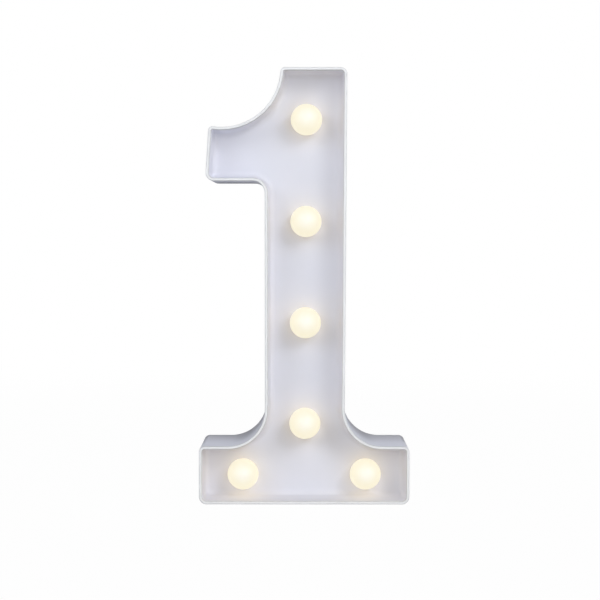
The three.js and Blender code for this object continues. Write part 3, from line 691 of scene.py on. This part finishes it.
def outlineEdges(v):
    notch = Vector((v["headLeft"] - v["notchRadius"], numeralHeight))
    flagTop = numeralHeight - v["notchRadius"]
    flagUnder = flagTop - v["flagThickness"]
    low, high = v["baseHeight"], numeralHeight
    corners = [
        ((-baseHalf, 0), v["footRadius"]),
        ((baseHalf, 0), v["shoulderRadius"]),
        ((baseHalf, low), -v["rootRadius"]),
        ((v["stemRight"], low), v["headRadius"]),
        ((v["headRight"], high), v["lipRadius"]),
        None,
        ((-v["flagTopReach"], flagTop), v["flagFootRadius"]),
        ((-v["flagFootReach"], flagUnder), -v["flagRootRadius"]),
        ((v["stemLeft"], flagUnder), -v["rootRadius"]),
        ((v["stemLeft"], low), v["shoulderRadius"]),
        ((-baseHalf, low), v["footRadius"]),
    ]
    edges = []
    for index, corner in enumerate(corners):
        following = corners[(index + 1) % len(corners)]
        if corner is None:
            edges.append({"centre": notch, "radius": v["notchRadius"], "corner": v["lipRadius"]})
            continue
        end = following[0] if following else (v["headLeft"], high)
        edges.append({"from": Vector(corner[0]), "to": Vector(end), "corner": corner[1]})
    return edges


def alongEdge(edge):
    return (edge["to"] - edge["from"]).normalized()


def intoEdge(edge):
    along = alongEdge(edge)
    return Vector((-along.y, along.x))


def movedEdge(edge, inset):
    if "centre" in edge:
        return {"centre": edge["centre"], "radius": edge["radius"] + inset}
    shift = intoEdge(edge) * inset
    return {"from": edge["from"] + shift, "to": edge["to"] + shift}


def lineMeetsCircle(line, circle, side):
    along = alongEdge(line)
    foot = line["from"] + along * (circle["centre"] - line["from"]).dot(along)
    reach = math.sqrt(circle["radius"] ** 2 - (foot - circle["centre"]).length_squared)
    return foot + along * reach * side


def edgesMeet(first, second):
    if "centre" in first:
        return lineMeetsCircle(second, first, 1)
    if "centre" in second:
        return lineMeetsCircle(first, second, -1)
    across = intoEdge(second)
    along = alongEdge(first)
    reach = (second["from"] - first["from"]).dot(across) / along.dot(across)
    return first["from"] + along * reach


def touchPoint(edge, middle, corner, inset):
    if "centre" in edge:
        away = (middle - edge["centre"]).normalized()
        return edge["centre"] + away * (edge["radius"] + inset)
    return middle + intoEdge(edge) * (inset - corner)


def arcPoints(middle, start, end, clockwise, nominal, sag):
    # The nominal radius alone sets the number of steps, so that all insets of a corner match
    first = math.atan2(start.y - middle.y, start.x - middle.x)
    sweep = math.atan2(end.y - middle.y, end.x - middle.x) - first
    if clockwise and sweep > 0:
        sweep -= 2 * math.pi
    if not clockwise and sweep < 0:
        sweep += 2 * math.pi
    count = math.ceil(math.pi / 2 / (2 * math.acos(1 - sag / nominal)))
    radius = (start - middle).length
    turns = (first + sweep * index / count for index in range(count + 1))
    return [middle + Vector((math.cos(turn), math.sin(turn))) * radius for turn in turns]


def outlinePoints(inset, v=outlineValues):
    edges = outlineEdges(v)
    sag = v["chordSag"]
    corners = []
    for index, edge in enumerate(edges):
        following = edges[(index + 1) % len(edges)]
        corner = edge["corner"]
        if corner > 0:
            corner = max(corner, inset + v["leastRadius"])
        middle = edgesMeet(movedEdge(edge, corner), movedEdge(following, corner))
        start = touchPoint(edge, middle, corner, inset)
        end = touchPoint(following, middle, corner, inset)
        corners.append(arcPoints(middle, start, end, corner < 0, abs(edge["corner"]), sag))
    points = []
    for index, edge in enumerate(edges):
        if "centre" in edge:
            start, end = corners[index - 1][-1], corners[index][0]
            points += arcPoints(edge["centre"], start, end, True, edge["radius"], sag)[1:-1]
        points += corners[index]
    return points


# Front shell

shellValues = {
    "wall": 1.8,
    "rimWidth": 1.5,
    "rimCrest": 0.5,
    "rimBands": 6,
    "floorFront": 29,
    "floorBack": 27,
    "footInset": 2.3,
    "fillet": 2.8,
    "filletBands": 8,
    "rearRadius": 1.4,
    "rearBands": 5,
    "seatRadius": 4.3,
    "seatEase": 0.25,
    "seatSides": 56,
    "bossRadius": 3.2,
    "pilotRadius": 1.55,
    "bossFoot": 2.3,
    "pilotEnd": 15,
    "bossSides": 32,
}


def quarter(bands):
    return [math.pi / 2 * band / bands for band in range(bands + 1)]


def shellSection(v):
    # Pairs of inset and level from the tray floor, over the rim and round the back, to the rear
    # of the floor
    bead = (v["rimWidth"] - v["rimCrest"]) / 2
    top = numeralDepth - bead
    section = []
    for turn in quarter(v["filletBands"]):
        inset = v["footInset"] + v["fillet"] * (1 - math.sin(turn))
        section.append((inset, v["floorFront"] + v["fillet"] * (1 - math.cos(turn))))
    for turn in quarter(v["rimBands"]):
        section.append((v["rimWidth"] - bead * (1 - math.cos(turn)), top + bead * math.sin(turn)))
    for turn in reversed(quarter(v["rimBands"])):
        section.append((bead * (1 - math.cos(turn)), top + bead * math.sin(turn)))
    radius = v["rearRadius"]
    for turn in quarter(v["rearBands"]):
        section.append((radius * (1 - math.cos(turn)), radius * (1 - math.sin(turn))))
    return [*section, (v["wall"], 0), (v["wall"], v["floorBack"])]


def addSeats(bm, v):
    # Each seat's mouth is eased, and its bore joins the two faces of the floor
    fronts, backs = [], []
    for x, y in globeSpots:
        bore = circlePoints(x, y, v["seatRadius"], v["seatSides"])
        mouth = circlePoints(x, y, v["seatRadius"] + v["seatEase"], v["seatSides"])
        rings = [
            addRing(bm, mouth, v["floorFront"]),
            addRing(bm, bore, v["floorFront"] - v["seatEase"]),
            addRing(bm, bore, v["floorBack"]),
        ]
        bridgeRings(bm, rings[0], rings[1])
        bridgeRings(bm, rings[1], rings[2])
        fronts.append(rings[0])
        backs.append(rings[2])
    return fronts, backs


def addBosses(bm, v):
    rings = []
    for x, y in screwSpots:
        outer = circlePoints(x, y, v["bossRadius"], v["bossSides"])
        inner = circlePoints(x, y, v["pilotRadius"], v["bossSides"])
        top = addRing(bm, outer, v["floorBack"])
        foot = addRing(bm, outer, v["bossFoot"])
        mouth = addRing(bm, inner, v["bossFoot"])
        end = addRing(bm, inner, v["pilotEnd"])
        for first, second in ((top, foot), (foot, mouth), (mouth, end)):
            bridgeRings(bm, first, second)
        bm.faces.new(end)
        rings.append(top)
    return rings


def fillFlat(bm, rings):
    edges = [edge for ring in rings for edge in ringEdges(bm, ring)]
    bmesh.ops.triangle_fill(bm, use_beauty=True, use_dissolve=False, edges=edges)


def buildShell(v):
    bm = bmesh.new()
    rings = [addRing(bm, outlinePoints(inset), level) for inset, level in shellSection(v)]
    for first, second in zip(rings, rings[1:]):
        bridgeRings(bm, first, second)
    fronts, backs = addSeats(bm, v)
    bosses = addBosses(bm, v)
    fillFlat(bm, [rings[0], *fronts])
    fillFlat(bm, [rings[-1], *backs, *bosses])
    shell = newPiece("shell", bm, "lamp", [shellPlastic])
    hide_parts("front_shell")
    smoothPiece(shell)


buildShell(shellValues)
print("shell built")


# Globes

globeValues = {
    "radius": 7.9,
    "wall": 1.1,
    "neckRadius": 4,
    "boreRadius": 2.8,
    "sides": 64,
    "bands": 40,
    "hollowBands": 16,
    "lip": 0.25,
    "sharpAngle": 60,
}
frostedPlastic = frostedMaterial("frostedPlastic", globeFinish, globeValues["radius"] * mm)


def ballArc(radius, startAngle, bands, level):
    turns = (startAngle + (math.pi / 2 - startAngle) * band / bands for band in range(bands))
    return [(math.cos(turn) * radius, level + math.sin(turn) * radius) for turn in turns]


def turnedMesh(profiles, x, y, sides):
    # Each profile is pairs of radius and level, and closes on the axis at its crown
    bm = bmesh.new()
    for profile, crown in profiles:
        rings = [addRing(bm, circlePoints(x, y, reach, sides), level) for reach, level in profile]
        for first, second in zip(rings, rings[1:]):
            bridgeRings(bm, first, second)
        tip = bm.verts.new(toWorld(x, y, crown))
        last = rings[-1]
        for index in range(sides):
            bm.faces.new((last[index], last[(index + 1) % sides], tip))
    bmesh.ops.remove_doubles(bm, verts=bm.verts, dist=meshValues["weldGap"] * mm)
    return bm


def buildGlobe(index, v):
    name = f"globe_{index}"
    low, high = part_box(name)
    level = (shellHigh.y - low.y) / mm - v["radius"]
    foot = (shellHigh.y - high.y) / mm
    x, y = globeSpots[index - 1]
    neckAngle = -math.acos(v["neckRadius"] / v["radius"])
    hollowRadius = v["radius"] - v["wall"]
    boreAngle = -math.acos(v["boreRadius"] / hollowRadius)
    mouth = (v["boreRadius"], foot + v["lip"])
    rim = [mouth, (v["boreRadius"] + v["lip"], foot)]
    neck = [(v["neckRadius"] - v["lip"], foot), (v["neckRadius"], foot + v["lip"])]
    outer = rim + neck + ballArc(v["radius"], neckAngle, v["bands"], level)
    inner = [mouth] + ballArc(hollowRadius, boreAngle, v["hollowBands"], level)
    walls = [(outer, level + v["radius"]), (inner, level + hollowRadius)]
    bm = turnedMesh(walls, x, y, v["sides"])
    middle = toWorld(x, y, level)
    globe = newPiece(f"frostedGlobe{index}", bm, "lamp", [frostedPlastic], middle)
    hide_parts(name)
    smoothPiece(globe, v["sharpAngle"])


for index in everySix:
    buildGlobe(index, globeValues)
print("globes built")


# Back cover, door, switch and contacts keep the frame's shapes, with their edges eased

bevelValues = {"weldGap": 0.002, "fromAngle": 38, "segments": 2}


def easeNode(node, width, material):
    bm = bmesh.new()
    bm.from_mesh(cadNodes[node].data)
    bmesh.ops.remove_doubles(bm, verts=bm.verts, dist=bevelValues["weldGap"] * mm)
    piece = newPiece(node + "Eased", bm, cadNodes[node]["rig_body"], [material])
    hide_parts(node)
    bevel = piece.modifiers.new("easedEdges", "BEVEL")
    bevel.limit_method = "ANGLE"
    bevel.angle_limit = math.radians(bevelValues["fromAngle"])
    bevel.width = width * mm
    bevel.segments = bevelValues["segments"]
    bevel.use_clamp_overlap = False
    bevel.harden_normals = False
    smoothPiece(piece)


easedValues = {
    "back_cover": {"width": 0.14, "material": coverPlastic},
    "battery_door": {"width": 0.16, "material": coverPlastic},
    "switch_housing": {"width": 0.12, "material": switchPlastic},
    "switch_knob": {"width": 0.12, "material": switchPlastic},
    "bridge_contact": {"width": 0.06, "material": nickelStrip},
    "negative_contact": {"width": 0.06, "material": nickelStrip},
    "positive_contact": {"width": 0.06, "material": nickelStrip},
}
for nodeName, nodeValues in easedValues.items():
    easeNode(nodeName, **nodeValues)
print("cover, door, switch and contacts eased")


# ON and OFF, raised on the floor of the switch's pocket

letterValues = {
    "height": 1.75,
    "heightShare": 0.7,     # of the font's size
    "raise": 0.22,
    "reach": 6.8,
    "pocketDepth": 3,
    "grow": 0.04,
    "curveSteps": 4,
}


def raiseWord(name, word, x, values):
    data = bpy.data.curves.new(name, "FONT")
    data.body = word
    data.size = values["height"] * mm / values["heightShare"]
    data.extrude = values["raise"] * mm / 2
    data.offset = values["grow"] * mm
    data.align_x = "CENTER"
    data.align_y = "CENTER"
    data.resolution_u = values["curveSteps"]
    draft = bpy.data.objects.new(name + "Draft", data)
    bpy.context.scene.collection.objects.link(draft)
    bpy.context.view_layer.update()
    shaped = draft.evaluated_get(bpy.context.evaluated_depsgraph_get())
    mesh = bpy.data.meshes.new_from_object(shaped)
    bpy.data.objects.remove(draft)
    level = values["pocketDepth"] - values["raise"] / 2
    centre = toWorld(x, middleOf("switch_housing").z / mm, level)
    turned = Matrix(((-1, 0, 0), (0, 0, 1), (0, 1, 0))).to_4x4()
    mesh.transform(Matrix.Translation(centre) @ turned)
    mesh.name = name
    mesh.materials.clear()
    mesh.materials.append(printedInk)
    piece = bpy.data.objects.new(name, mesh)
    bpy.context.scene.collection.objects.link(piece)
    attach(piece, "lamp")


raiseWord("wordOn", "ON", letterValues["reach"], letterValues)
raiseWord("wordOff", "OFF", -letterValues["reach"], letterValues)
print("words raised")


# Cover screws: countersunk, with a cross recess and a thread

screwValues = {
    "headRadius": 2.5,
    "headEdge": 0.12,
    "shankRadius": 1.25,
    "sunk": 0.1,
    "length": 9.5,
    "tip": 1.4,
    "sides": 48,
    "threadPitch": 0.9,
    "threadDepth": 0.24,
    "threadFlank": 0.3,
    "threadRings": 64,
    "tipShare": 0.12,
    "crossReach": 1.45,
    "crossWidth": 0.42,
    "crossEase": 0.16,
    "crossDepth": 1.0,
    "crossTaper": 0.45,
    "sharpAngle": 40,
}


def crossPoints(x, y, v, share):
    # The recess outline, anticlockwise, with its inner corners eased
    reach, half, ease = v["crossReach"] * share, v["crossWidth"] * share, v["crossEase"]
    arm = [(reach, -half), (reach, half), (half + ease, half), (half, half + ease)]
    points = []
    for turn in range(4):
        for along, across in arm:
            for _ in range(turn):
                along, across = -across, along
            points.append((x + along, y + across))
    return points


def threadRadius(v, level, start, angle):
    # The crest climbs one pitch in each turn, and the thread runs out towards the tip
    phase = ((level - start) / v["threadPitch"] - angle / (2 * math.pi)) % 1
    crest = max(0, 1 - abs(phase - 0.5) / v["threadFlank"])
    left = (v["sunk"] + v["length"] - level) / v["tip"]
    taper = min(1, max(v["tipShare"], left))
    return (v["shankRadius"] - v["threadDepth"] * (1 - crest)) * taper


def buildScrew(index, v):
    node = f"cover_screw_{index}"
    x, y = screwSpots[index - 1]
    bm = bmesh.new()
    sides = v["sides"]
    coneEnd = v["sunk"] + v["headRadius"] - v["shankRadius"]
    root = v["shankRadius"] - v["threadDepth"]
    lip = addRing(bm, circlePoints(x, y, v["headRadius"] - v["headEdge"], sides), v["sunk"])
    edgeLevel = v["sunk"] + v["headEdge"] / 2
    edge = addRing(bm, circlePoints(x, y, v["headRadius"], sides), edgeLevel)
    throat = addRing(bm, circlePoints(x, y, root, sides), coneEnd)
    bridgeRings(bm, lip, edge)
    bridgeRings(bm, edge, throat)
    last = throat
    end = v["sunk"] + v["length"]
    for ring in range(1, v["threadRings"] + 1):
        level = coneEnd + (end - coneEnd) * ring / v["threadRings"]
        points = []
        for side in range(sides):
            angle = 2 * math.pi * side / sides
            radius = threadRadius(v, level, coneEnd, angle)
            points.append((x + math.cos(angle) * radius, y + math.sin(angle) * radius))
        following = addRing(bm, points, level)
        bridgeRings(bm, last, following)
        last = following
    bm.faces.new(last)
    mouth = addRing(bm, crossPoints(x, y, v, 1), v["sunk"])
    floor = addRing(bm, crossPoints(x, y, v, v["crossTaper"]), v["sunk"] + v["crossDepth"])
    bridgeRings(bm, mouth, floor)
    bm.faces.new(floor)
    fillFlat(bm, [lip, mouth])
    screw = newPiece(f"crossScrew{index}", bm, "lamp", [zincScrew])
    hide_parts(node)
    smoothPiece(screw, v["sharpAngle"])


for index in everySix:
    buildScrew(index, screwValues)
print("screws built")


# Cells in plain sleeves

cellValues = {
    "radius": 7.1,
    "barrel": 49.5,
    "nubRadius": 2.75,
    "nubHeight": 1,
    "nubEase": 0.25,
    "edge": 0.45,
    "edgeShare": 0.3,
    "lipInset": 1.5,
    "lipSlope": 0.3,
    "footSlope": 0.5,
    "dish": 0.25,
    "sides": 64,
    "sharpAngle": 40,
}
sleeveFinish = {
    "bands": [
        (-30, (0.035, 0.04, 0.05)),
        (12.5, (0.42, 0.43, 0.45)),
        (13.3, (0.035, 0.04, 0.05)),
        (14.2, (0.10, 0.16, 0.26)),
    ],
    "axis": "Z",
    "polish": 0.28,
}
cellSleeve = bandedMaterial("cellSleeve", sleeveFinish)


def cellProfile(v):
    # Radius, height, and the slot of the band that ends there: 0 is the sleeve, 1 the metal
    radius, edge, dish = v["radius"], v["edge"], v["dish"]
    eased = edge * v["edgeShare"]
    lip = radius - v["lipInset"]
    top = v["barrel"]
    nub, nubTop, nubEase = v["nubRadius"], top + v["nubHeight"], v["nubEase"]
    return [
        (lip - v["footSlope"], dish, 1),
        (lip, 0, 1),
        (radius - edge, 0, 0),
        (radius - eased, eased, 0),
        (radius, edge, 0),
        (radius, top - edge, 0),
        (radius - eased, top - eased, 0),
        (radius - edge, top, 0),
        (lip, top, 0),
        (lip - v["lipSlope"], top - dish, 1),
        (nub + v["lipSlope"], top - dish, 1),
        (nub, top, 1),
        (nub, nubTop - nubEase, 1),
        (nub - nubEase, nubTop, 1),
    ]


def buildCell(node, upwards, v):
    # Shaped about its own middle with the positive end up, then turned over where the bay needs it
    profile = cellProfile(v)
    middle = (v["barrel"] + v["nubHeight"]) / 2
    bm = bmesh.new()
    rings = []
    for radius, height, _ in profile:
        points = circlePoints(0, 0, radius, v["sides"])
        z = (height - middle) * mm
        rings.append([bm.verts.new((x * mm, y * mm, z)) for x, y in points])
    for index in range(1, len(rings)):
        for face in bridgeRings(bm, rings[index - 1], rings[index]):
            face.material_index = profile[index][2]
    for ring in (rings[0], rings[-1]):
        bm.faces.new(ring).material_index = 1
    cell = newPiece(node + "Sleeved", bm, "lamp", [cellSleeve, nickelStrip])
    if not upwards:
        cell.rotation_euler = (math.pi, 0, 0)
    cell.location = middleOf(node)
    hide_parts(node)
    smoothPiece(cell, v["sharpAngle"])


buildCell("battery_left", True, cellValues)
buildCell("battery_right", False, cellValues)
print("cells built")


# CAD nodes that keep their shape get their finish

def dressNodes(names, material):
    for name in names:
        mesh = cadNodes[name].data
        mesh.materials.clear()
        mesh.materials.append(material)


resistorFinish = {
    "bands": [
        (-30, (0.55, 0.40, 0.22)),
        (0.6, (0.25, 0.09, 0.03)),
        (1.3, (0.55, 0.40, 0.22)),
        (2.0, (0.02, 0.02, 0.02)),
        (2.7, (0.55, 0.40, 0.22)),
        (3.4, (0.25, 0.09, 0.03)),
        (4.1, (0.55, 0.40, 0.22)),
    ],
    "axis": "Y",
    "polish": 0.4,
}
bandedCoat = bandedMaterial("bandedCoat", resistorFinish)
dressNodes(numbered("led"), diodeResin)
dressNodes(numbered("globe_collar"), collarPlastic)
dressNodes([f"{run}_wire_positive" for run in ("base", "stem", "battery")], redInsulation)
dressNodes([f"{run}_wire_negative" for run in ("base", "stem", "battery")], blackInsulation)
dressNodes(["resistor"], bandedCoat)
print("nodes dressed")


# Stage and light

stageValues = {
    "floorHalf": 30.0,
    "floorDrop": 0.00005,
    "whiteShare": 0.982,
    "shadowReach": (0.35, 0.8),
    "floorColour": (0.70, 0.70, 0.71),
    "floorRough": 0.9,
}


def addFloor(values):
    bm = bmesh.new()
    half = values["floorHalf"]
    level = shellLow.z - values["floorDrop"]
    corners = [(-half, -half), (half, -half), (half, half), (-half, half)]
    bm.faces.new([bm.verts.new((x, y, level)) for x, y in corners])
    mesh = bpy.data.meshes.new("floor")
    bm.to_mesh(mesh)
    bm.free()
    floor = bpy.data.objects.new("floor", mesh)
    bpy.context.scene.collection.objects.link(floor)
    mesh.materials.append(floorMaterial(values))


def floorMaterial(values):
    # Seen directly, the floor is mostly plain white, and the rest of it carries the shadow
    material, tree, shader = newMaterial("paleFloor")
    feed(tree, values["floorColour"], shader.inputs["Base Color"])
    shader.inputs["Roughness"].default_value = values["floorRough"]
    shader.inputs["Specular IOR Level"].default_value = 0
    white = addNode(tree, "Emission", {"Color": (1, 1, 1, 1), "Strength": 1.0})
    path = addNode(tree, "LightPath")
    away = addNode(tree, "VectorMath", operation="LENGTH")
    tree.links.new(objectPlace(tree), away.inputs[0])
    shares = (values["whiteShare"], 1.0)
    share = addRange(tree, away.outputs["Value"], values["shadowReach"], shares, smooth=True)
    seen = addMath(tree, "MULTIPLY", path.outputs["Is Camera Ray"], share)
    blendSurface(tree, seen, shader.outputs[0], white.outputs[0], "Material Output")
    return material


coolLight = (0.95, 0.99, 1.05)
paleLight = (0.96, 0.99, 1.04)
warmLight = (1.0, 0.98, 0.91)
softLight = (1.0, 0.99, 0.95)
plainLight = (1.0, 1.0, 1.0)
lampValues = {
    "key": {"place": (0.45, -1.0, 0.9), "size": 1.0, "power": 2.95, "colour": coolLight},
    "lowKey": {"place": (0.65, -0.95, 0.75), "size": 0.5, "power": 2.9, "colour": paleLight},
    "side": {"place": (1.2, -0.7, 0.3), "size": 1.1, "power": 3.85, "colour": warmLight},
    "front": {"place": (0.1, -1.5, 0.3), "size": 0.6, "power": 3.3, "colour": warmLight},
    "fill": {"place": (-0.8, -0.9, 0.7), "size": 0.7, "power": 3.55, "colour": coolLight},
    "left": {"place": (-1.3, -0.5, 0.3), "size": 0.7, "power": 2.1, "colour": softLight},
    "rear": {"place": (0.1, 1.4, 0.1), "size": 0.8, "power": 17.0, "colour": plainLight},
}
lampAim = (0, 0, 0.11)
ambientValues = {
    "front": 0.09,
    "rear": 0.27,
    "turn": (-0.6, 0.6),
    "colour": (0.95, 0.965, 1.0),
}


def addLight(name, values):
    data = bpy.data.lights.new(name, "AREA")
    data.shape = "DISK"
    data.size = values["size"]
    data.energy = values["power"]
    data.color = values["colour"]
    light = bpy.data.objects.new(name, data)
    bpy.context.scene.collection.objects.link(light)
    light.location = values["place"]
    # The rear light leaves no glare on the level faces
    light.visible_glossy = values["place"][1] < 0
    aim = Vector(lampAim) - light.location
    light.rotation_euler = aim.to_track_quat("-Z", "Y").to_euler()


def setWorld(values):
    # Rays that the viewer follows straight, by glare or through a clear wall meet plain white
    world = bpy.data.worlds.new("studio")
    bpy.context.scene.world = world
    world.use_nodes = True
    tree = world.node_tree
    soft = tree.nodes["Background"]
    feed(tree, values["colour"], soft.inputs["Color"])
    way = splitVector(tree, addNode(tree, "TexCoord").outputs["Generated"])
    strengths = (values["front"], values["rear"])
    around = addRange(tree, way["Y"], values["turn"], strengths, smooth=True)
    tree.links.new(around, soft.inputs["Strength"])
    white = addNode(tree, "Background", {"Color": (1, 1, 1, 1), "Strength": 1.0})
    path = addNode(tree, "LightPath").outputs
    seen = addMath(tree, "MAXIMUM", path["Is Camera Ray"], path["Is Transmission Ray"])
    shown = addMath(tree, "MAXIMUM", seen, path["Is Glossy Ray"])
    blendSurface(tree, shown, soft.outputs[0], white.outputs[0], "World Output")


addFloor(stageValues)
for lampName, values in lampValues.items():
    addLight(lampName + "Light", values)
setWorld(ambientValues)
bpy.context.scene.view_settings.view_transform = "Standard"
print("stage lit")

bpy.context.view_layer.update()
